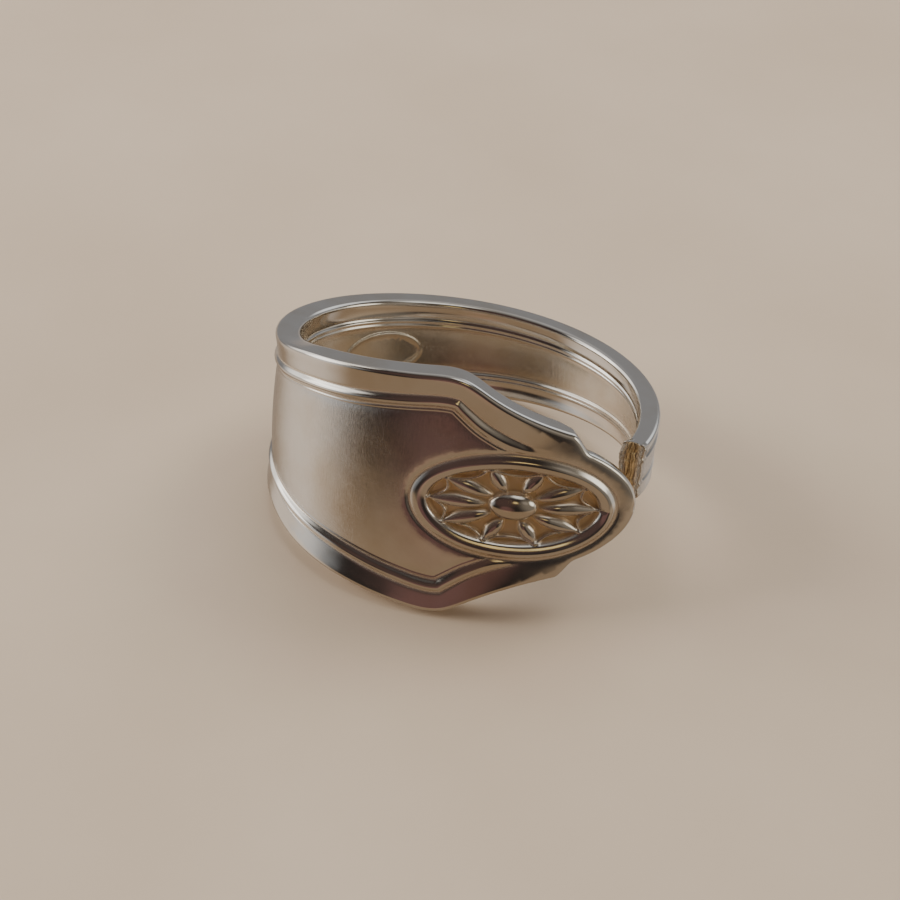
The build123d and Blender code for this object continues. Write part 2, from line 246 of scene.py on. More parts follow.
# Glows: azimuth, elevation, full within and gone beyond this angle (degrees), colour added or taken off
GLOWS = [
    (0, -90, 70, 76, (0.25, 0.174, 0.105)),
    # A darker patch straight below: painted shade, standing in for the ring's own shadow on the floor,
    # which the silver does not mirror
    (0, -90, 6, 36, (-0.15, -0.104, -0.064)),
    (-97, -20, 12, 40, (0.54, 0.500, 0.465)),
    (-22, 32, 14, 44, (0.050, 0.026, 0.022)),
    (100, -6, 8, 26, (0.46, 0.45, 0.42)),
    (128, -34, 12, 36, (0.20, 0.21, 0.22)),
    (-106, 36, 10, 22, (1.35, 1.32, 1.27)),
    (-92, 14, 11, 22, (2.00, 1.95, 1.88)),
    (-124, 14, 10, 24, (1.20, 1.17, 1.13)),
    (90, 72, 8, 22, (0.90, 0.90, 0.87)),
    (80, 18, 8, 18, (1.60, 1.52, 1.34)),
    (50, 35, 4, 14, (0.12, 0.11, 0.10)),
    (138, 25, 8, 26, (0.75, 0.79, 0.83)),
    (15, 38, 3, 8, (1.00, 0.77, 0.33)),
    (-74, 2, 9, 27, (0.28, 0.295, 0.310)),
    (-10, -8, 7, 20, (0.11, 0.050, 0.044)),
    (180, 12, 30, 75, (0.22, 0.225, 0.235)),
    (64, 12, 15, 50, (0.17, 0.150, 0.120)),
    (180, 68, 16, 48, (0.18, 0.176, 0.172)),
]

# The photograph's view, found from the ring's own outline: degrees, and millimetres in the part's frame
CAMERA_ELEVATION, CAMERA_AZIMUTH, CAMERA_ROLL = 43.233, 0.956, 5.299
CAMERA_TARGET = (-0.6374, -3.9697, 6.8305)
CAMERA_DISTANCE = 110.0
CAMERA_LENS, SENSOR_W = 74.74, 36


def smooth(table, x, column=1):
    """Values at x on a smooth curve through the rows of a table."""
    xs = np.array([row[0] for row in table], float)
    ys = np.array([row[column] for row in table], float)
    if xs[0] > xs[-1]:
        xs, ys = xs[::-1], ys[::-1]
    steps, rises = np.diff(xs), np.diff(ys)
    slopes = rises / steps
    inner = np.zeros(len(xs))
    inner[0], inner[-1] = slopes[0], slopes[-1]
    same = slopes[:-1] * slopes[1:] > 0
    both = slopes[:-1] + slopes[1:]
    inner[1:-1] = np.where(same, 2 * slopes[:-1] * slopes[1:] / np.where(same, both, 1), 0)
    x = np.clip(x, xs[0], xs[-1])
    i = np.clip(np.searchsorted(xs, x, side="right") - 1, 0, len(xs) - 2)
    h = steps[i]
    t = (x - xs[i]) / h
    return (
        (2 * t**3 - 3 * t**2 + 1) * ys[i] + (t**3 - 2 * t**2 + t) * h * inner[i]
        + (3 * t**2 - 2 * t**3) * ys[i + 1] + (t**3 - t**2) * h * inner[i + 1]
    )


def ramp(x, low, high):
    """0 below low, 1 above high, smooth between."""
    t = np.clip((x - low) / (high - low), 0, 1)
    return t * t * (3 - 2 * t)


def bell(x, middle, width):
    """1 in the middle, falling smoothly to either side."""
    return np.exp(-((x - middle) / width) ** 2)


def crest(off, half, power):
    """Cross section of a raised line: 1 on its crest, 0 at this half width."""
    return np.clip(1 - (off / half) ** 2, 0, 1) ** power


def walk(steps=4000):
    """The line of the outer face in plan: distance, x, y and heading."""
    ds = LENGTH / steps
    middle = (np.arange(steps) + 0.5) / steps
    bend = ds * smooth(BENDS, middle) / OUTER_R
    heading = math.radians(HEADING_AT_CUT) + np.concatenate([[0], np.cumsum(bend)])
    half = heading[:-1] + bend / 2
    x = np.concatenate([[0], np.cumsum(ds * np.cos(half))])
    y = np.concatenate([[0], np.cumsum(ds * np.sin(half))])
    return np.arange(steps + 1) * ds, x, y, heading


LINE = walk()


def place(s, out, v):
    """Points, as rows of x, y and z, at these distances along, out of and across the handle."""
    at, xs, ys, headings = LINE
    heading = np.interp(s, at, headings)
    beyond = s - np.clip(s, 0, LENGTH)
    x = np.interp(s, at, xs) + beyond * np.cos(heading) + out * np.sin(heading)
    y = np.interp(s, at, ys) + beyond * np.sin(heading) - out * np.cos(heading)
    return np.stack([x, y, v + END_OFFSET * (0.5 - s / LENGTH)], axis=1)


def gauge(s):
    """Thickness of the metal."""
    return THICKNESS * smooth(GAUGE, s / LENGTH)


def body_half(s):
    """Half the width of the handle before its oval end."""
    stem = smooth(STEM, s / SHOULDER_S)
    taper = smooth(TAPER, (s - SHOULDER_S) / (STEP_S - SHOULDER_S))
    return SHOULDER_W / 2 * np.where(s < SHOULDER_S, stem, taper)


def half_width(s):
    """Half the outline's width."""
    body = np.mean([body_half(s + shift) for shift in SHOULDER_SOFT], axis=0)
    oval = OVAL_W / 2 * np.sqrt(np.clip(1 - ((s - LENGTH + OVAL_L / 2) / (OVAL_L / 2)) ** 2, 0, 1))
    return body + ramp(s, STEP_S + STEP_SOFT[0], STEP_S + STEP_SOFT[1]) * (oval - body)


def fineness(s):
    """Scale of the mouldings, which get finer as the handle narrows towards the cut."""
    return np.sqrt(smooth(STEM, s / SHOULDER_S))


def resample(line, step):
    """The same open line with points at equal distances of about this step."""
    lengths = np.concatenate([[0], np.cumsum(np.hypot(*np.diff(line, axis=0).T))])
    count = max(2, round(lengths[-1] / step) + 1)
    at = np.linspace(0, lengths[-1], count)
    return np.stack([np.interp(at, lengths, line[:, i]) for i in (0, 1)], axis=1)


def half_outline(step):
    """Edge of the handle on its +v side, from the cut to the tip. Its last quarter oval goes by angle."""
    body = np.linspace(0, LENGTH - OVAL_L / 4, 1500)
    turn = np.linspace(math.acos(0.5), 0, 240)
    s = np.concatenate([body[:-1], LENGTH - OVAL_L / 2 + OVAL_L / 2 * np.cos(turn)])
    return resample(np.stack([s, half_width(s)], axis=1), step)


def outline(step, cut_step):
    """Closed edge of the handle, counter-clockwise, with its points on the cut first."""
    side = half_outline(step)
    rows = round(2 * side[0, 1] / cut_step)
    cut = np.stack([np.zeros(rows), np.linspace(side[0, 1], -side[0, 1], rows, endpoint=False)], axis=1)
    mirrored = side * (1, -1)
    return np.concatenate([cut, mirrored[:-1], side[::-1][:-1]])


def thread_line(step=0.2):
    """Outer foot of the thread on the +v side, in two parts: to its mitre, then to the medallion."""
    stem_s = np.linspace(-1, LENGTH - THREAD_LINE[0][0], 600)
    stem_v = half_width(np.clip(stem_s, 0, None)) - fineness(stem_s) * BORDER_W
    stem_v += (THREAD_LINE[0][1] - stem_v[-1]) * ramp(stem_s, stem_s[-1] - THREAD_MEETS, stem_s[-1])
    to_tip = np.linspace(THREAD_LINE[0][0], THREAD_LINE[-1][0], 120)
    past = np.stack([LENGTH - to_tip, smooth(THREAD_LINE, to_tip)], axis=1)
    stem = np.stack([stem_s, stem_v], axis=1)
    return resample(stem, step), resample(past, step)


def distance(points, line, batch=4000):
    """Distance of each point from an open line."""
    a, b = line[:-1], line[1:]
    best = np.full(len(points), np.inf)
    for start in range(0, len(points), batch):
        p = points[start:start + batch, None, :]
        along = b - a
        t = np.clip(((p - a) * along).sum(-1) / (along**2).sum(-1), 0, 1)
        gap = p - (a + t[..., None] * along)
        best[start:start + batch] = np.sqrt((gap**2).sum(-1).min(-1))
    return best


EDGE = outline(EDGE_STEP, CUT_STEP)
SIDES = half_outline(EDGE_STEP)
STEM_THREAD, END_THREAD = thread_line()
THREAD = np.concatenate([STEM_THREAD, END_THREAD[1:]])
MEDAL_S = LENGTH - MEDAL_TO_TIP


def side_distance(s, v):
    """Distance inwards from the long edges, which are taken on past the cut, and from the tip."""
    points = np.stack([s, np.abs(v)], axis=1)
    past_cut = np.array([[-2.0, SIDES[0, 1]]])
    return distance(points, np.concatenate([past_cut, SIDES]))


def thread_distance(s, v):
    """Distance inwards from the thread's outer foot, negative outside it."""
    side = np.abs(v)
    sign = np.where(side < np.interp(s, THREAD[:, 0], THREAD[:, 1]), 1, -1)
    return sign * distance(np.stack([s, side], axis=1), THREAD)


def oval_inset(s, v, centre_s, a, b, outermost=-12.0, halvings=34):
    """How far the oval with half axes a and b must be inset to pass through each point."""
    x, y = np.abs(s - centre_s), np.abs(v)
    low, high = np.full(len(x), outermost), np.full(len(x), b - 1e-3)
    for _ in range(halvings):
        middle = (low + high) / 2
        inside = (x / (a - middle)) ** 2 + (y / (b - middle)) ** 2 < 1
        low = np.where(inside, middle, low)
        high = np.where(inside, high, middle)
    return (low + high) / 2


def medal_inset(s, v):
    """Distance inwards from the foot of the medallion's ring, negative outside it."""
    return oval_inset(s, v + MEDAL_DOWN, MEDAL_S, MEDAL_A, MEDAL_B)


def stamp_inset(s, v):
    """Distance inwards from the outer side of the oval line inside, negative outside it."""
    return oval_inset(s, v, STAMP_AT * LENGTH, STAMP_A, STAMP_B)


def rounding(gap, radius):
    """How far a rounded edge has fallen away, this far in from it."""
    inwards = np.clip(radius - gap, 0, radius)
    return radius - np.sqrt(radius**2 - inwards**2)


def soft_max(a, b, blend=BLEND):
    """The larger of two heights, with the valley between them rounded."""
    h = np.clip(0.5 + 0.5 * (a - b) / blend, 0, 1)
    return b + (a - b) * h + blend * h * (1 - h)


def flower(s, v):
    """Height of the petals, their web and the boss over the recess floor."""
    x, y = s - MEDAL_S, v + MEDAL_DOWN
    height = np.zeros(len(s))
    tip_a, tip_b = MEDAL_A - RECESS_E - PETAL_CLEAR[0], MEDAL_B - RECESS_E - PETAL_CLEAR[1]
    for i in range(PETALS):
        angle = 2 * math.pi * i / PETALS
        root = np.array([BOSS_A * math.cos(angle), BOSS_B * math.sin(angle)]) * PETAL_ROOT
        tip = np.array([tip_a * math.cos(angle), tip_b * math.sin(angle)])
        span = np.hypot(*(tip - root))
        along = (tip - root) / span
        share = ((x - root[0]) * along[0] + (y - root[1]) * along[1]) / span
        across = np.abs((y - root[1]) * along[0] - (x - root[0]) * along[1])
        ridge = crest(across, smooth(PETAL, share, 1) * PETAL_W / 2, PETAL_ROUND)
        ends = ramp(share, *PETAL_STARTS) * (1 - ramp(share, *PETAL_STOPS))
        height = soft_max(height, smooth(PETAL, share, 2) * PETAL_H * ridge * ends)
    angle = np.arctan2(y / tip_b, x / tip_a) % (2 * math.pi / PETALS)
    share = angle / (2 * math.pi / PETALS)
    reach = 1 - WEB_DIP * 4 * share * (1 - share)
    radius = np.hypot(x / tip_a, y / tip_b)
    scale = np.hypot(x, y) / np.clip(radius, 1e-6, None)
    off = np.abs(radius - reach) * scale
    height = soft_max(height, WEB_H * crest(off, WEB_W / 2, LINE_ROUND))
    dome = np.sqrt(np.clip(1 - (x / BOSS_A) ** 2 - (y / BOSS_B) ** 2, 0, 1))
    return soft_max(height, BOSS_H * dome, BOSS_BLEND)


def outer_height(s, v, gap):
    """Height of the outer face over the border, without the rounded edges."""
    fine = fineness(s)
    to_tip = LENGTH - s
    thread = thread_distance(s, v) / fine
    sunk = THREAD_LOW + (1 - THREAD_LOW) * ramp(to_tip, *THREAD_SINKS)
    band = fine * smooth(MOULDING, thread) * ramp(to_tip, *THREAD_FADES) * sunk
    crown = 1 - np.clip(np.abs(v) / (half_width(s) - BORDER_W * fine), 0, 1) ** 2
    band += CROWN_H * fine * crown * ramp(to_tip, *CROWN_FADES)

    sink = SINK_H * fine * ramp(to_tip, *SINK_FADES)
    rim = RIM_H * ramp(to_tip, *RIM_FADES)
    lie = (sink + rim) * np.clip(1 - gap / (BORDER_W * fine), 0, 1) ** BORDER_BEND - sink

    inset = medal_inset(s, v)
    ring = smooth(RING, inset)
    ring -= RING_SINKS * np.clip(ring, 0, 1) * ramp(MEDAL_S - s, RING_SINKS_FROM * MEDAL_A, MEDAL_A)
    in_recess = ramp(inset - RECESS_E, *FLOWER_BEGINS)
    nick = bell(to_tip, NICK_TO_TIP, NICK_L) * bell(v, NICK_V, NICK_W)
    medallion = ring + in_recess * flower(s, v) - NICK_D * nick
    return band * (1 - ramp(inset, *RING_TAKES_OVER)) + medallion + lie


def inner_height(s, v, gap):
    """Height of the inner face over its rim, towards the finger, without the rounded edges."""
    fine = fineness(s)
    height = fine * smooth(INNER_MOULDING, gap / fine)
    near_tip = 1 - ramp(LENGTH - s, *BEVEL_ENDS)
    height -= TIP_THIN * near_tip * np.clip(1 - gap / TIP_THIN_W, 0, 1) ** TIP_THIN_BEND
    uneven = np.sin(5 * v) * np.sin(3 * v + 1)
    height += LIP_H * bell(s, 0, LIP_W) * (1 - LIP_WAVE + LIP_WAVE * uneven)
    off = np.abs(stamp_inset(s, v) - STAMP_W / 2)
    return height + STAMP_H * crest(off, STAMP_W / 2, LINE_ROUND)


def edge_fall(s, gap):
    """How far the two faces fall away at the handle's edges."""
    return rounding(gap, EDGE_R) + rounding(s, CUT_R)


def shifted(line, gap):
    """Points of an open line moved sideways by this much, to its right."""
    along = np.gradient(line, axis=0)
    along /= np.hypot(*along.T)[:, None]
    return line + gap * np.stack([along[:, 1], -along[:, 0]], axis=1)


def hexes(s_from, s_to, v_to, step):
    """Points of a hexagonal grid."""
    rows = np.arange(s_from, s_to, step * math.sqrt(3) / 2)
    points = []
    for i, s in enumerate(rows):
        v = np.arange(-v_to + (i % 2) * step / 2, v_to, step)
        points.append(np.stack([np.full(len(v), s), v], axis=1))
    return np.concatenate(points)


def both_sides(points):
    """These points of the +v side and their mirror images."""
    return np.concatenate([points, points * (1, -1)])


def edge_rows():
    """Rows of points that carry the rounded edges."""
    rows = []
    for angle in EDGE_ANGLES:
        gap = EDGE_R * (1 - math.cos(math.radians(angle)))
        row = shifted(SIDES, gap)
        row = row[(row[:, 0] > CUT_R + CUT_CLEAR) & (row[:, 1] > MIDDLE_CLEAR)]
        rows.append(both_sides(row[np.abs(side_distance(*row.T) - gap) < EDGE_STRAY]))
    end = SIDES[0, 1] - EDGE_R
    v = np.arange(-end, end, CUT_STEP)
    rows += [np.stack([np.full(len(v), gap), v], axis=1) for gap in CUT_ROWS]
    return np.concatenate(rows)


def past_ends(row):
    """Which points of a row are clear of the cut's own rows and of the middle line."""
    return (row[:, 0] > ROWS_FROM) & (row[:, 1] > MIDDLE_CLEAR)


def clear_of_edge(points, room):
    """Which points are this far inside the rounded edge."""
    return side_distance(*points.T) > EDGE_R + room


def trimmed(rows):
    """All the points of these rows, without those that crowd the rounded edge."""
    points = np.concatenate(rows)
    on_edge = side_distance(*points.T) <= EDGE_R + 1e-3
    return points[on_edge | clear_of_edge(points, ROW_CLEAR)]


def outer_points():
    """Points of the outer face: along the mouldings, dense in the medallion, sparse elsewhere."""
    rows = [edge_rows()]
    for part in thread_line(THREAD_STEP):
        for gap in THREAD_ROWS:
            row = part + fineness(part[:, 0])[:, None] * (shifted(part, gap) - part)
            row = row[past_ends(row)]
            off = np.abs(thread_distance(*row.T) - gap * fineness(row[:, 0]))
            rows.append(both_sides(row[off < THREAD_STRAY]))
    lines = trimmed(rows)
    lines = lines[medal_inset(*lines.T) < MEDAL_ROWS_END]
    fill = hexes(FILL_FROM, LENGTH, SHOULDER_W / 2, OUTER_STEP)
    fill = fill[edge_inside(fill)]
    fill = fill[clear_of_edge(fill, FILL_CLEAR) & (medal_inset(*fill.T) < MEDAL_FILL_END)]
    thread = thread_distance(*fill.T) / fineness(fill[:, 0])
    fill = fill[(thread < THREAD_ZONE[0]) | (thread > THREAD_ZONE[1])]
    reach = MEDAL_A + MEDAL_MARGIN
    dense = hexes(MEDAL_S - reach, MEDAL_S + reach, MEDAL_B + MEDAL_MARGIN, MEDAL_STEP)
    dense = dense[(medal_inset(*dense.T) > MEDAL_BEGIN) & clear_of_edge(dense, DENSE_CLEAR)]
    return np.concatenate([lines, fill, dense])


def inner_points():
    """Points of the inner face: along the beads, dense by the oval line, sparse elsewhere."""
    rows = [edge_rows()]
    fine = fineness(SIDES[:, 0])
    for gap in INNER_ROWS:
        row = SIDES + fine[:, None] * (shifted(SIDES, gap) - SIDES)
        off = np.abs(side_distance(*row.T) - gap * fine)
        rows.append(both_sides(row[past_ends(row) & (off < INNER_STRAY)]))
    lines = trimmed(rows)
    lines = lines[stamp_inset(*lines.T) < STAMP_ROWS_END]
    fill = hexes(FILL_FROM, LENGTH, SHOULDER_W / 2, INNER_STEP)
    fill = fill[edge_inside(fill)]
    gap = side_distance(*fill.T) / fineness(fill[:, 0])
    fill = fill[(gap > INNER_ZONE) & (np.abs(stamp_inset(*fill.T)) > STAMP_FILL_END)]
    stamp_s = STAMP_AT * LENGTH
    dense = hexes(stamp_s - STAMP_AREA[0], stamp_s + STAMP_AREA[0], STAMP_AREA[1], STAMP_STEP)
    inset = stamp_inset(*dense.T)
    by_line = (inset > STAMP_ROWS_END) & (inset < STAMP_FILL_END)
    dense = dense[by_line & clear_of_edge(dense, DENSE_CLEAR)]
    return np.concatenate([lines, fill, dense])


def edge_inside(points):
    """Which points lie on the handle, inside its outline."""
    edge = np.interp(points[:, 0], SIDES[:, 0], SIDES[:, 1], left=0, right=0)
    return np.abs(points[:, 1]) < edge


def sheet_faces(inner):
    """Triangles over the outline and these points. The outline's points come first."""
    points = np.concatenate([EDGE, inner])
    count = len(EDGE)
    rim = [(i, (i + 1) % count) for i in range(count)]
    made = geometry.delaunay_2d_cdt([Vector(p) for p in points.tolist()], rim, [], 1, 1e-6, True)
    origin = [names[0] for names in made[3]]
    faces = np.array([[origin[i] for i in face] for face in made[2]])
    faces = faces[edge_inside(points[faces].mean(1))]
    a, b, c = (points[faces[:, i]] for i in range(3))
    turn = (b[:, 0] - a[:, 0]) * (c[:, 1] - a[:, 1]) - (b[:, 1] - a[:, 1]) * (c[:, 0] - a[:, 0])
    faces[turn < 0] = faces[turn < 0][:, ::-1]
    return points, faces


# A few waves that run every way: direction and phase
WAVES = np.random.default_rng(7).normal(size=(24, 4))


def waver(points, size):
    """Gentle unevenness between about -1 and 1, with swells of about this size."""
    total = np.zeros(len(points))
    for x, y, z, phase in WAVES:
        total += np.sin((points @ (x, y, z)) * 2 / size + 9 * phase)
    return total / math.sqrt(2 * len(WAVES)) / 1.5


def cut_face(out, share):
    """How far the sawn face stands out at the edge's points, this share of the way through the metal."""
    points = place(EDGE[:, 0], out, EDGE[:, 1])
    ridges = waver(points * (1, 1, RIDGE_RUN), RIDGE_SIZE) - 1 + GRAIN * waver(points, GRAIN_SIZE)
    burr = BURR_H * bell(min(share, 1 - share), 0, BURR_W)
    return RIDGE_H * ridges + burr * (BURR_EVEN + waver(points, BURR_SIZE))


def build_band():
    """The whole ring as one closed mesh, in millimetres, with its map coordinates and masks."""
    outer, outer_faces = sheet_faces(outer_points())
    inner, inner_faces = sheet_faces(inner_points())
    gap, gap_in = side_distance(*outer.T), side_distance(*inner.T)
    swell = SWELL_H * waver(place(outer[:, 0], 0, outer[:, 1]), SWELL_SIZE)
    top_out = outer_height(*outer.T, gap) - edge_fall(outer[:, 0], gap) + swell
    dents = DENT_H * waver(place(inner[:, 0], DENT_OUT, inner[:, 1]), DENT_SIZE)
    under = inner_height(*inner.T, gap_in) - edge_fall(inner[:, 0], gap_in) + dents
    bottom_out = -gauge(inner[:, 0]) - under
    top = place(outer[:, 0], top_out, outer[:, 1])
    bottom = place(inner[:, 0], bottom_out, inner[:, 1])

    count = len(EDGE)
    on_cut = EDGE[:, 0] < 1e-6
    wall = []
    for row in range(1, WALL_ROWS):
        share = row / WALL_ROWS
        out = top_out[:count] * (1 - share) + bottom_out[:count] * share
        wall.append(place(EDGE[:, 0] - on_cut * cut_face(out, share), out, EDGE[:, 1]))

    first_inner, first_wall = len(outer), len(outer) + len(inner)
    rings = [np.arange(count)]
    rings += [first_wall + count * row + np.arange(count) for row in range(WALL_ROWS - 1)]
    rings.append(first_inner + np.arange(count))
    sides = []
    for upper, lower in zip(rings[:-1], rings[1:]):
        ahead_up, ahead_low = np.roll(upper, -1), np.roll(lower, -1)
        sides.append(np.stack([upper, lower, ahead_low], axis=1))
        sides.append(np.stack([upper, ahead_low, ahead_up], axis=1))
    faces = np.concatenate([outer_faces, inner_faces[:, ::-1] + first_inner, *sides])

    run = np.concatenate([[0], np.cumsum(np.hypot(*np.diff(EDGE, axis=0).T))])
    deep = np.repeat(np.arange(1, WALL_ROWS) / WALL_ROWS, count)
    wall_map = np.stack([np.tile(run, WALL_ROWS - 1), THICKNESS * deep], axis=1)
    flat_map = np.concatenate([outer, inner + INNER_MAP_AT, wall_map + WALL_MAP_AT])
    masks = join_masks(outer_masks(outer), inner_masks(inner, gap_in), wall_masks(on_cut, deep))
    return np.concatenate([top, bottom, *wall]), faces, flat_map, masks


def join_masks(*parts):
    """The masks of the outer face, the inner face and the wall, end to end."""
    return {name: np.clip(np.concatenate([part[name] for part in parts]), 0, 1) for name in parts[0]}


def outer_masks(points):
    """Tarnish in the hollows and satin panels on the outer face."""
    s, v = points.T
    inset = medal_inset(s, v)
    thread = thread_distance(s, v) / fineness(s)
    to_tip = LENGTH - s
    recess = ramp(inset - RECESS_E, *RECESS_TARNISH) * (1 - ramp(flower(s, v), *FLOWER_CLEAN))
    grooves = sum(bell(thread, at, width) for at, width in THREAD_TARNISH)
    grooves = grooves * (inset < 0) * ramp(to_tip, *LINE_TARNISH_FADES)
    foot = bell(inset, *RING_TARNISH)
    satin = ramp(thread, *SATIN_THREAD) * ramp(-inset, *SATIN_MEDAL) * ramp(to_tip, *SATIN_FADES)
    return {
        "tarnish_and_shade": np.maximum(recess, LINE_TARNISH * np.maximum(grooves, foot)),
        "satin": satin,
        "dull": np.zeros(len(s)),
        "sawn": near_cut(s),
    }


def inner_masks(points, gap):
    """The same for the inner face: its grooves, the field inside the beads and painted shade on the
    stretch by the cut.
    """
    s, v = points.T
    deep = gap / fineness(s)
    grooves = sum(strength * bell(deep, at, width) for at, width, strength in INNER_TARNISH)
    # Painted shade, darker low down on the stretch by the cut; the mask carries it with the real tarnish
    # in the grooves
    shade_by_cut = CUT_SHADE * (1 - ramp(s, *CUT_SHADE_S)) * (1 - ramp(v, *CUT_SHADE_V))
    return {
        "tarnish_and_shade": np.maximum(grooves, shade_by_cut),
        "satin": ramp(deep, *INNER_SATIN),
        "dull": ramp(deep, *INNER_DULL),
        "sawn": near_cut(s),
    }


def wall_masks(on_cut, deep):
    """The same for the edge: sawn on the cut, least so on its two burrs."""
    clean = np.zeros(len(deep))
    middle = ramp(np.minimum(deep, 1 - deep), *RAW_BEGINS)
    sawn = np.tile(on_cut, WALL_ROWS - 1) * (RAW_ON_BURR + (1 - RAW_ON_BURR) * middle)
    return {"tarnish_and_shade": clean, "satin": clean, "dull": clean, "sawn": sawn}


def near_cut(s):
    """How raw the two faces are beside the sawn end."""
    return RAW_BESIDE * (1 - ramp(s, *RAW_ENDS))


def seated(points):
    """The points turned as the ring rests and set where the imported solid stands, in metres."""
    turn = Matrix.Rotation(math.radians(TURN_X), 3, "X") @ Matrix.Rotation(math.radians(TURN_Y), 3, "Y")
    points = points @ np.array(turn).T * MM
    low, high = (np.array(corner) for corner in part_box("ring_band"))
    middle = (points.min(0) + points.max(0)) / 2
    return points + [*((low + high) / 2 - middle)[:2], low[2] - points[:, 2].min()]


def placed_object(name, mesh):
    """An object with this mesh, in the scene."""
    made = bpy.data.objects.new(name, mesh)
    bpy.context.scene.collection.objects.link(made)
    return made


def band_object():
    """The ring's skin as a Blender object."""
    points, faces, flat_map, masks = build_band()
    mesh = bpy.data.meshes.new("ring_band_skin")
    mesh.from_pydata(seated(points).tolist(), [], faces.tolist())
    mesh.polygons.foreach_set("use_smooth", [True] * len(mesh.polygons))
    corners = np.zeros(len(mesh.loops), dtype=int)
    mesh.loops.foreach_get("vertex_index", corners)
    layer = mesh.uv_layers.new(name="along_across")
    layer.data.foreach_set("uv", (flat_map[corners] / MAP_UNIT).ravel())
    for name, values in masks.items():
        mesh.attributes.new(name, "FLOAT", "POINT").data.foreach_set("value", values)
    mesh.materials.append(silver_material())
    mesh.validate()
    return placed_object("ring_band_skin", mesh)


class Graph:
    """Short forms for building nodes."""

    def __init__(self, tree):
        self.nodes, self.links = tree.nodes, tree.links

    def feed(self, socket, value):
        """Link a socket to this one, or set this one's own value."""
        if isinstance(value, bpy.types.NodeSocket):
            self.links.new(value, socket)
        else:
            socket.default_value = value

    def add(self, kind, inputs, **settings):
        """A new node with these inputs and settings."""
        node = self.nodes.new("ShaderNode" + kind)
        for key, value in settings.items():
            setattr(node, key, value)
        for key, value in inputs.items():
            self.feed(node.inputs[key], value)
        return node

    def mask(self, name):
        """A mask kept on the mesh's points."""
        return self.add("Attribute", {}, attribute_name=name).outputs["Fac"]

    def math(self, operation, a, b=0.0):
        """The result of one operation on two values."""
        return self.add("Math", {0: a, 1: b}, operation=operation).outputs[0]

    def plus(self, base, share, amount):
        """The base and this share of the amount."""
        return self.math("ADD", base, self.math("MULTIPLY", share, amount))

    def mapped(self, source, low, high, to_low=0.0, to_high=1.0):
        """The source, with low to high spread over to_low to to_high."""
        inputs = {"Value": source, "From Min": low, "From Max": high, "To Min": to_low, "To Max": to_high}
        return self.add("MapRange", inputs).outputs["Result"]

    def mixed(self, share, a, b, blend="MIX"):
        """Colour a where share is 0, b (or a plus b, for ADD) where it is 1."""
        inputs = {0: share, 6: a, 7: b}
        return self.add("Mix", inputs, data_type="RGBA", blend_type=blend).outputs[2]

    def noise(self, where, scale=1.0, detail=3.0, distortion=0.0):
        """Cloudy values between 0 and 1."""
        inputs = {"Vector": where, "Scale": scale, "Detail": detail, "Distortion": distortion}
        return self.add("TexNoise", inputs).outputs["Fac"]

    def stretched(self, where, along, across, turn=0.0):
        """The same coordinates scaled, and turned about z."""
        inputs = {"Vector": where, "Scale": (along, across, 1), "Rotation": (0, 0, math.radians(turn))}
        return self.add("Mapping", inputs).outputs["Vector"]

    def scratches(self, flat, turn, density):
        """A mask of fine stray scratches that run in one direction."""
        where = self.stretched(flat, density * 14, density / 5, turn)
        line = self.noise(where, detail=0, distortion=0.2)
        return self.mapped(self.math("ABSOLUTE", self.math("SUBTRACT", line, 0.5)), 0.0, 0.012, 1.0, 0.0)

    def bumped(self, height, strength, distance, below=None):
        """A normal roughened by this height, on top of the normal below."""
        node = self.add("Bump", {"Height": height, "Strength": strength, "Distance": distance})
        if below is not None:
            self.feed(node.inputs["Normal"], below)
        return node.outputs["Normal"]


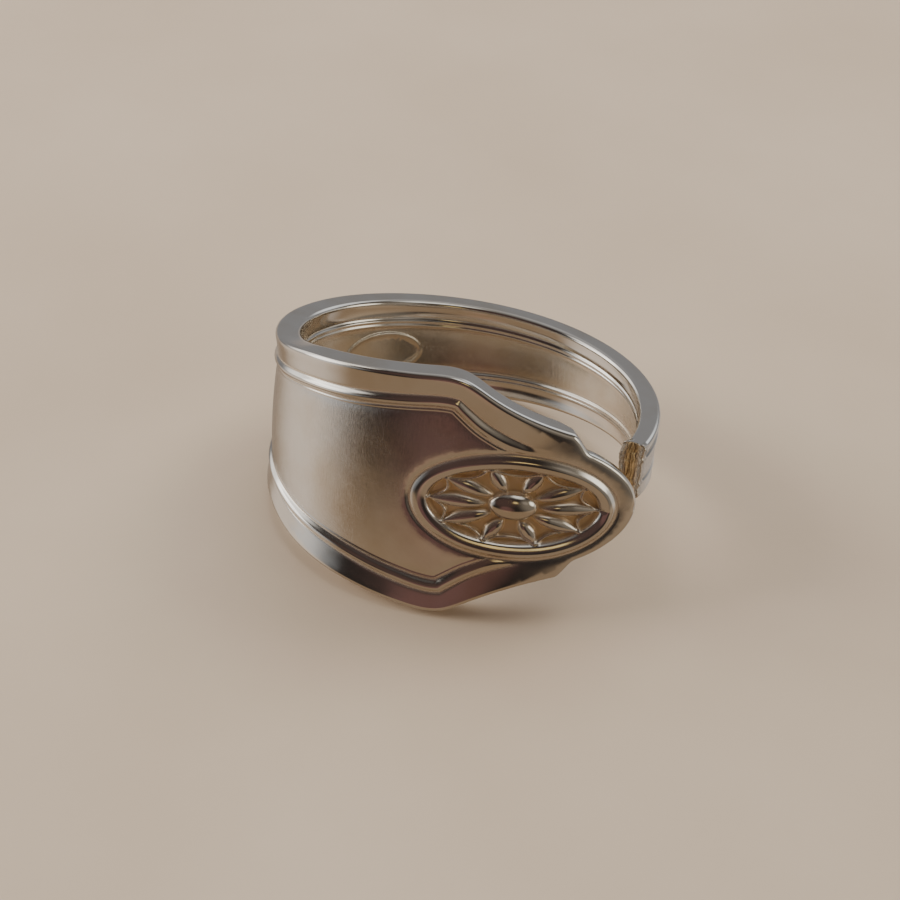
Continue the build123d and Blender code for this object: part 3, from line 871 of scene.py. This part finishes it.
def silver_material():
    """Worn silver: satin panels, polished mouldings, tarnish in the hollows and painted shade inside by
    the cut, a raw sawn end.
    """
    material = bpy.data.materials.new("worn_silver")
    material.use_nodes = True
    g = Graph(material.node_tree)
    flat = g.add("UVMap", {}, uv_map="along_across").outputs["UV"]
    solid = g.add("TexCoord", {}).outputs["Object"]
    tarnish_and_shade, satin, dull, sawn = (g.mask(name) for name in ("tarnish_and_shade", "satin", "dull", "sawn"))

    film = g.mapped(g.noise(solid, scale=260, detail=4), 0.40, 0.72)
    spots = g.noise(solid, scale=1500, detail=2)
    streaks = g.noise(g.stretched(flat, along=9, across=70), detail=3)
    colour = g.mixed(film, SILVER, WARM_SILVER)
    patchy = g.mapped(g.noise(solid, scale=520, detail=3), 0.3, 0.7, 0.55, 1.0)
    colour = g.mixed(g.math("MULTIPLY", dull, patchy), colour, DULL_SILVER)
    # Tarnish in the hollows and painted shade inside by the cut: both darken the colour and take off
    # metal
    dirt_and_shade = g.math("MULTIPLY", tarnish_and_shade, g.mapped(spots, 0.2, 0.75, 0.75, 1.0))
    colour = g.mixed(dirt_and_shade, colour, TARNISH_AND_SHADE)
    raw = g.mixed(g.mapped(streaks, 0.42, 0.58), RAW_DARK, RAW_GOLD)
    colour = g.mixed(sawn, colour, raw)

    fine = g.noise(g.stretched(flat, along=900, across=26), detail=2)
    coarse = g.noise(g.stretched(flat, along=240, across=9, turn=4), detail=2)
    brushed = g.math("MULTIPLY", g.math("ADD", fine, coarse), satin)
    one_way, other_way = g.scratches(flat, turn=31, density=60), g.scratches(flat, turn=-68, density=45)
    marks = g.math("MAXIMUM", one_way, other_way)
    cells = g.add("TexVoronoi", {"Vector": solid, "Scale": 620.0}, feature="F1").outputs["Distance"]
    here = g.mapped(g.noise(solid, scale=300), 0.60, 0.66)
    pits = g.math("MULTIPLY", g.mapped(cells, 0.02, 0.10, 1.0, 0.0), here)

    gloss = g.mapped(g.noise(solid, scale=420, detail=5), 0.3, 0.7, 0.08, 0.17)
    for mask, amount in ((satin, 0.05), (tarnish_and_shade, 0.18), (sawn, 0.14), (marks, 0.08)):
        gloss = g.plus(gloss, mask, amount)

    rough = g.mapped(sawn, 0.02, 0.25)
    grit = g.math("MULTIPLY", g.math("ADD", g.noise(solid, scale=3000, detail=2), streaks), rough)
    normal = g.bumped(g.noise(solid, scale=190, detail=2), strength=0.25, distance=0.0002)
    normal = g.bumped(brushed, strength=0.25, distance=0.00002, below=normal)
    normal = g.bumped(marks, strength=-0.30, distance=0.00001, below=normal)
    normal = g.bumped(pits, strength=-0.6, distance=0.00004, below=normal)
    normal = g.bumped(grit, strength=0.8, distance=0.0001, below=normal)

    shader = g.nodes["Principled BSDF"]
    g.feed(shader.inputs["Metallic"], g.plus(1.0, dirt_and_shade, -0.7))
    g.feed(shader.inputs["Base Color"], colour)
    g.feed(shader.inputs["Roughness"], gloss)
    g.feed(shader.inputs["Normal"], normal)
    return material


def floor_material():
    """Pale, matt and a little uneven in tone."""
    material = bpy.data.materials.new("pale_floor")
    material.use_nodes = True
    g = Graph(material.node_tree)
    where = g.add("TexCoord", {}).outputs["Object"]
    shade = g.mapped(g.noise(where, scale=40, detail=5), 0.3, 0.7)
    shader = g.nodes["Principled BSDF"]
    shader.inputs["Roughness"].default_value = 0.6
    g.feed(shader.inputs["Base Color"], g.mixed(shade, FLOOR_LIGHT, FLOOR_DARK))
    grain = g.noise(where, scale=900, detail=4)
    g.feed(shader.inputs["Normal"], g.bumped(grain, strength=0.1, distance=0.0002))
    return material


def floor_object(half=0.6, steps=24):
    """A plain pale floor. The silver mirrors the room's soft tan in its place, without its edges."""
    at = np.linspace(-half, half, steps + 1)
    x, y = np.meshgrid(at, at)
    points = np.stack([x.ravel(), y.ravel(), np.zeros(x.size)], axis=1)
    width = steps + 1
    faces = [
        (j * width + i, j * width + i + 1, (j + 1) * width + i + 1, (j + 1) * width + i)
        for j in range(steps) for i in range(steps)
    ]
    mesh = bpy.data.meshes.new("floor")
    mesh.from_pydata(points.tolist(), [], faces)
    mesh.materials.append(floor_material())
    floor = placed_object("floor", mesh)
    floor.visible_glossy = False
    return floor


def towards(azimuth, elevation):
    """Unit direction at this azimuth from the front and this elevation, in degrees."""
    a, e = math.radians(azimuth), math.radians(elevation)
    return Vector((math.sin(a) * math.cos(e), -math.cos(a) * math.cos(e), math.sin(e)))


def add_lamps():
    """A few soft round lamps, aimed at the ring. The silver mirrors the room's glows in their place."""
    for name, azimuth, elevation, reach, size, watts, colour in LAMPS:
        lamp = bpy.data.lights.new(name, "AREA")
        lamp.shape, lamp.size = "DISK", size
        lamp.energy, lamp.color = watts, colour
        holder = placed_object(name, lamp)
        away = towards(azimuth, elevation)
        holder.location = away * reach
        holder.rotation_euler = away.to_track_quat("Z", "Y").to_euler()
        holder.visible_glossy = False


def add_room():
    """A dim room with a few broad soft glows."""
    world = bpy.data.worlds.new("room")
    world.use_nodes = True
    g = Graph(world.node_tree)
    direction = g.add("TexCoord", {}).outputs["Generated"]
    shade = ROOM
    for azimuth, elevation, core, reach, colour in GLOWS:
        aim = {0: direction, 1: towards(azimuth, elevation)}
        facing = g.add("VectorMath", aim, operation="DOT_PRODUCT").outputs["Value"]
        far, near = math.cos(math.radians(reach)), math.cos(math.radians(core))
        inputs = {"Value": facing, "From Min": far, "From Max": near}
        share = g.add("MapRange", inputs, interpolation_type="SMOOTHSTEP").outputs["Result"]
        shade = g.mixed(share, shade, (*colour, 1), "ADD")
    g.feed(g.nodes["Background"].inputs["Color"], shade)
    bpy.context.scene.world = world


def aim_camera():
    """The camera at the photograph's viewing angle."""
    back = towards(-CAMERA_AZIMUTH, CAMERA_ELEVATION)
    right = towards(90 - CAMERA_AZIMUTH, 0)
    upright = Matrix((right, back.cross(right), back)).transposed()
    turned = upright @ Matrix.Rotation(math.radians(CAMERA_ROLL), 3, "Z")
    data = bpy.data.cameras.new("camera")
    data.lens, data.sensor_width = CAMERA_LENS, SENSOR_W
    data.clip_start, data.clip_end = 0.005, 10
    camera = placed_object("camera", data)
    at = (Vector(CAMERA_TARGET) + back * CAMERA_DISTANCE) * MM
    camera.matrix_world = Matrix.Translation(at) @ turned.to_4x4()
    bpy.context.scene.camera = camera


band = band_object()
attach(band, "root")
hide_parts("ring_band")
floor_object()
add_lamps()
add_room()
aim_camera()

print("triangles", len(band.data.polygons))
